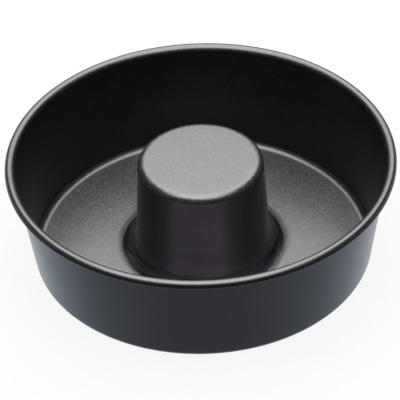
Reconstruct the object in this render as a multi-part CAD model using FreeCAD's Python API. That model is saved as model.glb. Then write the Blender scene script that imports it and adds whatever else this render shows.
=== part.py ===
import FreeCAD, Part
import math
import os
from collections import namedtuple

# A ring cake tin pressed from one round of coated steel sheet: a flat ring floor, a wall that leans
# outward to a rolled rim, and a hollow cone with a closed flat top that stands in the middle.
# Millimetres and degrees. The origin is the centre of the base and +Z runs up the tin's axis.

# Driving dimensions
rim_diameter = 250.0  # over the rolled rim
tin_height = 73.0  # base to the crest of the rim
sheet = 0.8  # steel with its coating
floor_diameter = 209.2  # outer edge of the flat floor, where its corner with the wall starts
cone_foot_diameter = 116.4  # inner edge of the flat floor, where the cone's flare ends
cone_top_diameter = 81.2  # over the rounded edge of the cone's top
cone_height = 70.6  # base to the flat top of the cone

# Inside radius of each bend
edge_bend = 4.7  # cone's top into its side
foot_bend = 15.0  # cone's side flared into the floor
corner_bend = 4.7  # floor into the wall
lip_bend = 2.8  # wall turned outward at the rim
roll_bend = 2.05  # hollow of the roll
roll_gap = 0.6  # from the roll's end to the wall

# Headings of the sheet along its section, from the axis outward
level = 0.0
full_turn = 360.0

# Two points closer than this are one point of the section
touching = 1e-6

# A bend by its centre and the radius of the food side. Going outward along the section,
# a bend to the left has a plus radius and a bend to the right a minus one.
Bend = namedtuple("Bend", "r z radius")


def cone_edge():
    """Bend from the cone's flat top down into its side."""
    radius = edge_bend + sheet
    return Bend(cone_top_diameter / 2 - radius, cone_height - radius, -radius)


def cone_foot():
    """Flare from the cone's side out into the floor."""
    return Bend(cone_foot_diameter / 2, sheet + foot_bend, foot_bend)


def floor_corner():
    """Bend from the floor up into the wall."""
    return Bend(floor_diameter / 2, sheet + corner_bend, corner_bend)


def rim_lip():
    """Turn from the wall outward to the crest of the rim."""
    radius = lip_bend + sheet
    return Bend(crest_radius(), tin_height - radius, -radius)


def rim_roll():
    """Roll from the crest out, down and back in under the rim."""
    radius = roll_bend + sheet
    return Bend(crest_radius(), tin_height - radius, -radius)


def crest_radius():
    return rim_diameter / 2 - roll_bend - sheet


def straight_heading(bend, next_bend):
    """Heading of the straight run that leaves one bend and meets the next."""
    out = next_bend.r - bend.r
    up = next_bend.z - bend.z
    swing = math.asin((next_bend.radius - bend.radius) / math.hypot(out, up))
    return math.degrees(math.atan2(up, out) - swing)


def roll_end_heading(wall_heading):
    """Heading at the cut end of the roll, which stops roll_gap short of the wall's outside."""
    lean = math.cos(math.radians(wall_heading))
    wall_distance = lip_bend - (rim_roll().z - rim_lip().z) * lean
    closing = math.acos(min(1.0, (wall_distance - roll_gap) / (roll_bend + sheet)))
    return wall_heading - full_turn + math.degrees(closing)


def course():
    """Each bend with the sheet's heading before and after it, from the axis outward."""
    side_heading = straight_heading(cone_edge(), cone_foot())
    wall_heading = straight_heading(floor_corner(), rim_lip())
    return [
        (cone_edge(), level, side_heading),
        (cone_foot(), side_heading, level),
        (floor_corner(), level, wall_heading),
        (rim_lip(), wall_heading, level),
        (rim_roll(), level, roll_end_heading(wall_heading)),
    ]


def section_point(r, z):
    return FreeCAD.Vector(r, 0, z)


def bend_point(bend, depth, heading):
    """Point of a bend where the sheet has a heading, at a depth below the food side."""
    radius = bend.radius + depth
    angle = math.radians(heading)
    return section_point(bend.r + radius * math.sin(angle), bend.z - radius * math.cos(angle))


def straight(start, end):
    return Part.LineSegment(start, end).toShape()


def skin(depth):
    """Edges of the skin at a depth below the food side, from the axis to the roll's cut end."""
    edges = []
    here = section_point(0, cone_height - depth)
    for bend, before, after in course():
        start = bend_point(bend, depth, before)
        middle = bend_point(bend, depth, (before + after) / 2)
        end = bend_point(bend, depth, after)
        if here.distanceToPoint(start) > touching:
            edges.append(straight(here, start))
        edges.append(Part.Arc(start, middle, end).toShape())
        here = end
    return edges, here


def sheet_section():
    """Half section of the tin, one thickness of sheet between its two skins."""
    food_side, food_end = skin(0)
    underside, under_end = skin(sheet)
    cut_end = straight(food_end, under_end)
    axis_edge = straight(section_point(0, cone_height), section_point(0, cone_height - sheet))
    outline = food_side + [cut_end] + underside[::-1] + [axis_edge]
    return Part.Face(Part.Wire(Part.__sortEdges__(outline)))


def ring_cake_tin():
    origin = FreeCAD.Vector(0, 0, 0)
    up = FreeCAD.Vector(0, 0, 1)
    return sheet_section().revolve(origin, up, full_turn)


os.makedirs("parts", exist_ok=True)
ring_cake_tin().exportStep("parts/ring_cake_tin.step")
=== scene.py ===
import math
from collections import namedtuple

import bmesh
import bpy
from mathutils import Matrix, Vector


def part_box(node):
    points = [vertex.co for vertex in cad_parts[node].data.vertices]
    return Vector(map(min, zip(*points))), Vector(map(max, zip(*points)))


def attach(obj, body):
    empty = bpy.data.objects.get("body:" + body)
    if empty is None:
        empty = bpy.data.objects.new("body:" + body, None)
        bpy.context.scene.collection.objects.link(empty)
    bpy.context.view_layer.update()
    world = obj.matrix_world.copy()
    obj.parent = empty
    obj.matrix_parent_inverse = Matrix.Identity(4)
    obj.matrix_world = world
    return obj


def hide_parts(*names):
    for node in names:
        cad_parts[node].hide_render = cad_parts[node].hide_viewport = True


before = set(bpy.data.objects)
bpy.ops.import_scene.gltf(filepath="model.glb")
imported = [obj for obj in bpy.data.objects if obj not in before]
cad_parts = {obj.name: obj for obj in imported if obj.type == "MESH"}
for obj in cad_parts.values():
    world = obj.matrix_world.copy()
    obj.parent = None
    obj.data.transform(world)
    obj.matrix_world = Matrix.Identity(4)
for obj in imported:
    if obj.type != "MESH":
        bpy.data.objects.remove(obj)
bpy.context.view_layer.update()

# A ring cake tin of dark non-stick steel on a pale table. The tin's section is the sheet of the
# CAD model, straight runs and bends, given by the food side. The tin and its coats are in
# millimetres and degrees, the table and the lamps in metres.
MM = 0.001
rim_diameter = 250.0
tin_height = 73.0
sheet = 0.8
floor_diameter = 209.2
cone_foot_diameter = 116.4
cone_top_diameter = 81.2
cone_height = 70.6
edge_bend = 4.7
foot_bend = 15.0
corner_bend = 4.7
lip_bend = 2.8
roll_bend = 2.05
roll_gap = 0.6

# How finely the sheet is divided: parts round the axis, degrees of a bend, millimetres of a run
around = 288
bend_step = 4.5
run_step = 6.0
full_turn = 360.0

# Points closer than this are one point, and a ring smaller than this, in metres, is one point
touching = 1e-6
on_axis = 1e-9

# Where each coat of the food side starts and ends, by radius and height
drawn_reach = 61.0
drawn_low, drawn_high = 1.45, 66.3
# The floor's lighter base colour, painted light on the one coat, reaches out to this radius
painted_floor_reach, floor_high = 104.6, 3.8
wall_from, wall_high = 90.0, 69.6
crest_from, crest_inset = 115.0, 0.4

# The roll's coat starts this many degrees past the crest and ends this far below the roll's middle
roll_tilt = 64.0
roll_drop = 4.0

# Sizes of the noises, and how many finer ones are laid over each. Their middle is a half.
grain_size, grain_detail = 1.4, 2
speck_size, speck_detail = 1.5, 1
cloud_size, cloud_detail = 24.0, 3
line_size, line_detail = 3.0, 2
noise_roughness = 0.55
noise_middle = 0.5

# The span of the noise over which clouds and specks show, and how far each changes the roughness
cloud_span = (0.3, 0.7)
cloud_roughness = 0.02
speck_span = (0.42, 0.68)
speck_colour = (0.06, 0.058, 0.064)
grain_roughness = 0.06

# Drawing lines run level round the tin, strongest at the foot, and weaken between these heights
line_stretch = (0.05, 0.05, 1.0)
line_fade = (2.0, 30.0)
line_weakest = 0.25
line_roughness = 0.5

# Heights between which the drawn coat gets smoother down the flare, and rougher again at its end
foot_fade = (5.0, 15.0)
end_fade = (1.2, 2.4)
foot_roughness = 0.15
ring_turn = 0.25

# The outer wall's painted sheen: its base colour turns bluish at grazing angles, and this fades out
# under the rim
painted_sheen_span = (0.35, 1.0)
painted_sheen_fade = (63.0, 67.0)

# Sockets of the Mix node in its colour mode
FACTOR, COLOUR_A, COLOUR_B, MIXED_COLOUR = 0, 6, 7, 2

Bend = namedtuple("Bend", "r z radius")


def bends():
    """Each bend, from the cone outward, with its food-side radius; a bend to the right is minus."""
    crest = rim_diameter / 2 - roll_bend - sheet
    edge = edge_bend + sheet
    lip = lip_bend + sheet
    roll = roll_bend + sheet
    return {
        "edge": Bend(cone_top_diameter / 2 - edge, cone_height - edge, -edge),
        "foot": Bend(cone_foot_diameter / 2, sheet + foot_bend, foot_bend),
        "corner": Bend(floor_diameter / 2, sheet + corner_bend, corner_bend),
        "lip": Bend(crest, tin_height - lip, -lip),
        "roll": Bend(crest, tin_height - roll, -roll),
    }


def run_heading(bend, next_bend):
    """Heading in degrees of the straight run between two bends."""
    out = next_bend.r - bend.r
    up = next_bend.z - bend.z
    swing = math.asin((next_bend.radius - bend.radius) / math.hypot(out, up))
    return math.degrees(math.atan2(up, out) - swing)


def roll_end(wall):
    """Heading at the cut end of the roll, which stops short of the wall."""
    b = bends()
    wall_distance = lip_bend - (b["roll"].z - b["lip"].z) * math.cos(math.radians(wall))
    closing = math.acos(min(1.0, (wall_distance - roll_gap) / (roll_bend + sheet)))
    return wall - full_turn + math.degrees(closing)


def bend_points(bend, depth, before, after):
    """Points (r, z) along a bend, at a depth below the food side."""
    steps = max(2, math.ceil(abs(after - before) / bend_step))
    reach = bend.radius + depth
    points = []
    for i in range(steps + 1):
        angle = math.radians(before + (after - before) * i / steps)
        points.append((bend.r + reach * math.sin(angle), bend.z - reach * math.cos(angle)))
    return points


def run_points(start, end):
    """Points (r, z) between the ends of a straight run."""
    runs = math.ceil(math.dist(start, end) / run_step)
    points = []
    for i in range(1, runs):
        t = i / runs
        points.append((start[0] + (end[0] - start[0]) * t, start[1] + (end[1] - start[1]) * t))
    return points


def skin(depth):
    """Points (r, z) of the skin at a depth below the food side, from the axis to the roll's end."""
    b = bends()
    side = run_heading(b["edge"], b["foot"])
    wall = run_heading(b["corner"], b["lip"])
    course = [
        (b["edge"], 0.0, side),
        (b["foot"], side, 0.0),
        (b["corner"], 0.0, wall),
        (b["lip"], wall, 0.0),
        (b["roll"], 0.0, roll_end(wall)),
    ]
    points = [(0.0, cone_height - depth)]
    for bend, before, after in course:
        arc = bend_points(bend, depth, before, after)
        length = math.dist(points[-1], arc[0])
        points += run_points(points[-1], arc[0])
        points += arc if length > touching else arc[1:]
    return points


def ring(bm, radius, z):
    """Vertices of one ring of the mesh, or its one vertex on the axis."""
    if radius < on_axis:
        return [bm.verts.new((0, 0, z))]
    turns = [math.tau * k / around for k in range(around)]
    return [bm.verts.new((radius * math.cos(a), radius * math.sin(a), z)) for a in turns]


def revolve(name, section, reach):
    """Mesh of the section turned round Z, its widest point at the given reach in metres."""
    widest = max(r for r, _ in section)
    bm = bmesh.new()
    rings = [ring(bm, r / widest * reach, z * MM) for r, z in section]
    for a, b in zip(rings, rings[1:]):
        for k in range(around):
            n = (k + 1) % around
            if len(a) == 1:
                bm.faces.new((a[0], b[k], b[n]))
            elif len(b) == 1:
                bm.faces.new((a[k], b[0], a[n]))
            else:
                bm.faces.new((a[k], b[k], b[n], a[n]))
    bmesh.ops.recalc_face_normals(bm, faces=bm.faces)
    mesh = bpy.data.meshes.new(name)
    bm.to_mesh(mesh)
    bm.free()
    return mesh


def node(tree, kind, inputs=None, **settings):
    """A shader node with its settings; each input is given a value, or a socket to link."""
    made = tree.nodes.new(kind)
    for name, value in settings.items():
        setattr(made, name, value)
    for name, value in (inputs or {}).items():
        socket = made.inputs[name]
        if isinstance(value, bpy.types.NodeSocket):
            tree.links.new(value, socket)
        else:
            socket.default_value = value
    return made


def noise(tree, where, size, detail):
    """Noise over the surface with the given size of grain in millimetres."""
    made = node(tree, "ShaderNodeTexNoise", {
        "Vector": where, "Scale": 1 / (size * MM), "Detail": detail, "Roughness": noise_roughness,
    })
    return made.outputs["Fac"]


def ramp(tree, value, span, low, high):
    """Value mapped from the span to low..high, smooth and held at the ends."""
    made = node(tree, "ShaderNodeMapRange", {
        "Value": value, "From Min": span[0], "From Max": span[1], "To Min": low, "To Max": high,
    }, interpolation_type="SMOOTHSTEP")
    return made.outputs["Result"]


def level_ramp(tree, height, span, low, high):
    """A ramp over heights that are given in millimetres."""
    return ramp(tree, height, [end * MM for end in span], low, high)


def maths(tree, operation, *values):
    made = node(tree, "ShaderNodeMath", dict(enumerate(values)), operation=operation)
    return made.outputs["Value"]


def blend(tree, factor, a, b):
    """Colour a where the factor is 0 and colour b where it is 1."""
    a, b = [c if isinstance(c, bpy.types.NodeSocket) else (*c, 1) for c in (a, b)]
    sockets = {FACTOR: factor, COLOUR_A: a, COLOUR_B: b}
    return node(tree, "ShaderNodeMix", sockets, data_type="RGBA").outputs[MIXED_COLOUR]


def coat(name, deep, pale, ior, level, roughness, grain_height, speck_share,
         tint=(1, 1, 1), line_height=0.006, drawn_out=False, painted_edge_sheen=None):
    """Dark non-stick coat: sprayed grain, specks, clouds of tone and gloss, drawing lines, and
    where given a painted sheen.
    """
    material = bpy.data.materials.new(name)
    material.use_nodes = True
    tree = material.node_tree
    shader = tree.nodes["Principled BSDF"]
    where = node(tree, "ShaderNodeTexCoord").outputs["Object"]
    grain = noise(tree, where, grain_size, grain_detail)
    fine = noise(tree, where, speck_size, speck_detail)
    clouds = noise(tree, where, cloud_size, cloud_detail)
    stretched = node(tree, "ShaderNodeMapping", {"Vector": where, "Scale": line_stretch})
    lines = noise(tree, stretched.outputs["Vector"], line_size, line_detail)
    height = node(tree, "ShaderNodeSeparateXYZ", {"Vector": where}).outputs["Z"]
    near_foot = level_ramp(tree, height, line_fade, 1.0, line_weakest)
    drawn = maths(tree, "MULTIPLY", maths(tree, "SUBTRACT", lines, noise_middle), near_foot)

    tone = ramp(tree, clouds, cloud_span, 0.0, 1.0)
    speck = ramp(tree, fine, speck_span, 0.0, speck_share)
    shade = blend(tree, tone, deep, pale)
    # Painted sheen: the base colour is mixed toward a bluish colour where the surface is seen at
    # grazing angles
    if painted_edge_sheen:
        facing = node(tree, "ShaderNodeLayerWeight", {"Blend": 0.5}).outputs["Facing"]
        under_rim = level_ramp(tree, height, painted_sheen_fade, 1.0, 0.0)
        grazing = ramp(tree, facing, painted_sheen_span, 0.0, 1.0)
        shade = blend(tree, maths(tree, "MULTIPLY", grazing, under_rim), shade, painted_edge_sheen)
    tree.links.new(blend(tree, speck, shade, speck_colour), shader.inputs["Base Color"])

    satin = ramp(
        tree, clouds, cloud_span, roughness - cloud_roughness, roughness + cloud_roughness
    )
    if drawn_out:
        changes = [
            maths(tree, "MULTIPLY", drawn, line_roughness),
            level_ramp(tree, height, foot_fade, foot_roughness - roughness, 0.0),
            level_ramp(tree, height, end_fade, roughness - foot_roughness, 0.0),
        ]
        for change in changes:
            satin = maths(tree, "ADD", satin, change)
    grainy = maths(
        tree, "MULTIPLY_ADD", fine, grain_roughness, -grain_roughness * noise_middle
    )
    tree.links.new(maths(tree, "ADD", satin, grainy), shader.inputs["Roughness"])

    sprayed = node(tree, "ShaderNodeBump", {
        "Height": grain, "Strength": 1.0, "Distance": grain_height * MM,
    })
    streaked = node(tree, "ShaderNodeBump", {
        "Height": drawn, "Strength": 1.0, "Distance": line_height * MM,
        "Normal": sprayed.outputs["Normal"],
    })
    tree.links.new(streaked.outputs["Normal"], shader.inputs["Normal"])
    shader.inputs["Specular IOR Level"].default_value = level
    shader.inputs["IOR"].default_value = ior
    shader.inputs["Specular Tint"].default_value = (*tint, 1)
    if drawn_out:
        round_axis = node(tree, "ShaderNodeTangent", direction_type="RADIAL", axis="Z")
        tree.links.new(round_axis.outputs["Tangent"], shader.inputs["Tangent"])
        shader.inputs["Anisotropic"].default_value = 1.0
        shader.inputs["Anisotropic Rotation"].default_value = ring_turn
    return material


def coats():
    """The tin's coats, in the order of its material slots."""
    black = {"deep": (0.0018, 0.0017, 0.0021), "pale": (0.0032, 0.0030, 0.0036), "ior": 2.45}
    # Painted light: the floor gets a lighter copy of the same black coat, its base colour ten times
    # lighter than the walls'
    painted_lit_floor = {"deep": (0.020, 0.018, 0.021), "pale": (0.026, 0.024, 0.027), "ior": 2.45}
    slate = {"deep": (0.0040, 0.0046, 0.0056), "pale": (0.0060, 0.0068, 0.0082), "ior": 1.5,
             "tint": (0.80, 0.85, 1.0)}
    return [
        coat("food_coat", **black, level=0.5, roughness=0.38, grain_height=0.10, speck_share=0.9),
        # The outer coat carries a painted bluish sheen in its base colour at grazing angles
        coat("outer_coat", **slate, level=0.25, roughness=0.24, grain_height=0.02, speck_share=0.03,
             painted_edge_sheen=(0.004, 0.095, 0.18)),
        coat("drawn_coat", **black, level=0.38, roughness=0.43, grain_height=0.15, speck_share=0.15,
             tint=(0.95, 0.88, 1.0), line_height=0.1, drawn_out=True),
        coat("wall_coat", **black, level=0.16, roughness=0.38, grain_height=0.1, speck_share=0.02),
        coat("painted_lit_floor_coat", **painted_lit_floor, level=0.4, roughness=0.385, grain_height=0.10, speck_share=0.9),
        coat("bend_coat", **black, level=0.5, roughness=0.38, grain_height=0.03, speck_share=0.1),
        coat("roll_coat", **slate, level=0.10, roughness=0.24, grain_height=0.02, speck_share=0.02),
    ]


def coat_name(centre, on_food_side):
    """Name of the coat on a face, from the face's centre in metres."""
    radius = math.hypot(centre.x, centre.y) / MM
    height = centre.z / MM
    roll = bends()["roll"]
    past_crest = math.degrees(math.atan2(radius - roll.r, height - roll.z))
    if radius > roll.r and past_crest > roll_tilt and height > roll.z - roll_drop:
        return "roll_coat"
    if not on_food_side:
        return "outer_coat"
    if radius < drawn_reach and drawn_low < height < drawn_high:
        return "drawn_coat"
    # The floor, out to its reach, gets the lighter copy of the coat, which is painted light
    if height < floor_high:
        return "painted_lit_floor_coat" if radius < painted_floor_reach else "bend_coat"
    if height > wall_high:
        return "bend_coat" if radius > crest_from else "food_coat"
    if wall_from < radius < roll.r - crest_inset:
        return "wall_coat"
    return "food_coat"


def tin_shell(reach):
    """The tin: food side, cut end of the roll and underside in one skin."""
    food = skin(0.0)
    mesh = revolve("tin_shell", food + skin(sheet)[::-1], reach)
    for material in coats():
        mesh.materials.append(material)
    slots = {material.name: index for index, material in enumerate(mesh.materials)}
    food_faces = around * (len(food) - 1)
    for face in mesh.polygons:
        face.use_smooth = True
        face.material_index = slots[coat_name(face.center, face.index < food_faces)]
    return place("tin_shell", mesh)


def place(name, data):
    """A new object in the scene, with its mesh, lamp or camera."""
    made = bpy.data.objects.new(name, data)
    bpy.context.scene.collection.objects.link(made)
    return made


def table_material(colour, roughness, whiteness):
    """Pale and lit by the lamps, but near white itself to the camera and in reflections."""
    material = bpy.data.materials.new("table_pale")
    material.use_nodes = True
    tree = material.node_tree
    surface = tree.nodes["Principled BSDF"]
    surface.inputs["Base Color"].default_value = (*colour, 1)
    surface.inputs["Roughness"].default_value = roughness
    rays = node(tree, "ShaderNodeLightPath").outputs
    seen = maths(tree, "MAXIMUM", rays["Is Camera Ray"], rays["Is Glossy Ray"])
    seen = maths(tree, "MAXIMUM", seen, rays["Is Transmission Ray"])
    glow = node(tree, "ShaderNodeEmission", {"Color": (1, 1, 1, 1), "Strength": 1.0})
    lit = node(tree, "ShaderNodeMixShader", {
        0: maths(tree, "MULTIPLY", seen, whiteness),
        1: surface.outputs["BSDF"],
        2: glow.outputs["Emission"],
    })
    tree.links.new(lit.outputs["Shader"], tree.nodes["Material Output"].inputs["Surface"])
    return material


def table(size, drop):
    """Square table top, set a hair below the tin's floor so that the two don't flicker."""
    half = size / 2
    outline = [(-half, -half), (half, -half), (half, half), (-half, half)]
    mesh = bpy.data.meshes.new("table")
    mesh.from_pydata([(x, y, -drop) for x, y in outline], [], [(0, 1, 2, 3)])
    mesh.materials.append(table_material(colour=(0.9, 0.9, 0.9), roughness=0.8, whiteness=0.9))
    return place("table", mesh)


def softbox(name, location, size, aim, radiance, colour=(1, 1, 1)):
    """Area lamp by its radiance: its power is four times its area times that."""
    light = bpy.data.lights.new(name, "AREA")
    light.shape = "RECTANGLE"
    light.size, light.size_y = size
    light.energy = radiance * 4 * size[0] * size[1]
    light.color = colour
    lamp = place(name, light)
    lamp.location = location
    lamp.rotation_euler = (Vector(aim) - Vector(location)).to_track_quat("-Z", "Y").to_euler()
    lamp.visible_camera = False


def photo_camera(location, yaw, pitch, roll, focal_widths):
    """Camera from its place in millimetres, angles in radians and focal length in image widths."""
    data = bpy.data.cameras.new("camera")
    data.sensor_width = 36.0
    data.lens = data.sensor_width * focal_widths
    camera = place("camera", data)
    sy, cy = math.sin(yaw), math.cos(yaw)
    sp, cp = math.sin(pitch), math.cos(pitch)
    sr, cr = math.sin(roll), math.cos(roll)
    forward = Vector((sy * cp, cy * cp, -sp))
    level_right = Vector((cy, -sy, 0))
    level_up = Vector((sy * sp, cy * sp, cp))
    right = level_right * cr + level_up * sr
    up = level_up * cr - level_right * sr
    turn = Matrix((right, up, -forward)).transposed().to_4x4()
    camera.matrix_world = Matrix.Translation(Vector(location) * MM) @ turn
    return camera


_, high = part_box("ring_cake_tin")
tin = tin_shell(high.x)
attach(tin, "root")
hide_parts("ring_cake_tin")
table(size=12.0, drop=0.05 * MM)

# A nearly dark studio with a large softbox behind the tin, a faintly violet strip over its front
# and a weak card in front
world = bpy.data.worlds.new("studio")
world.use_nodes = True
world.node_tree.nodes["Background"].inputs["Color"].default_value = (0.012, 0.012, 0.013, 1)
bpy.context.scene.world = world
softbox("overhead", (0.01, 0.2802, 0.7493), (0.95, 1.1), aim=(0, 0, 0), radiance=2.15)
softbox("front_strip", (-0.05, -0.28, 0.76), (0.9, 0.26), aim=(0, 0, 0), radiance=2.9,
        colour=(1.0, 0.92, 1.0))
softbox("front_card", (-0.03, -0.62, 0.78), (0.6, 0.35), aim=(0, 0, 0.03), radiance=0.2,
        colour=(1.0, 0.9, 1.0))

bpy.context.scene.camera = photo_camera(
    (0.0, -1353.40, 1135.08), yaw=-0.00092, pitch=0.68155, roll=-0.03627, focal_widths=2700 / 400
)
bpy.context.scene.view_settings.view_transform = "Standard"
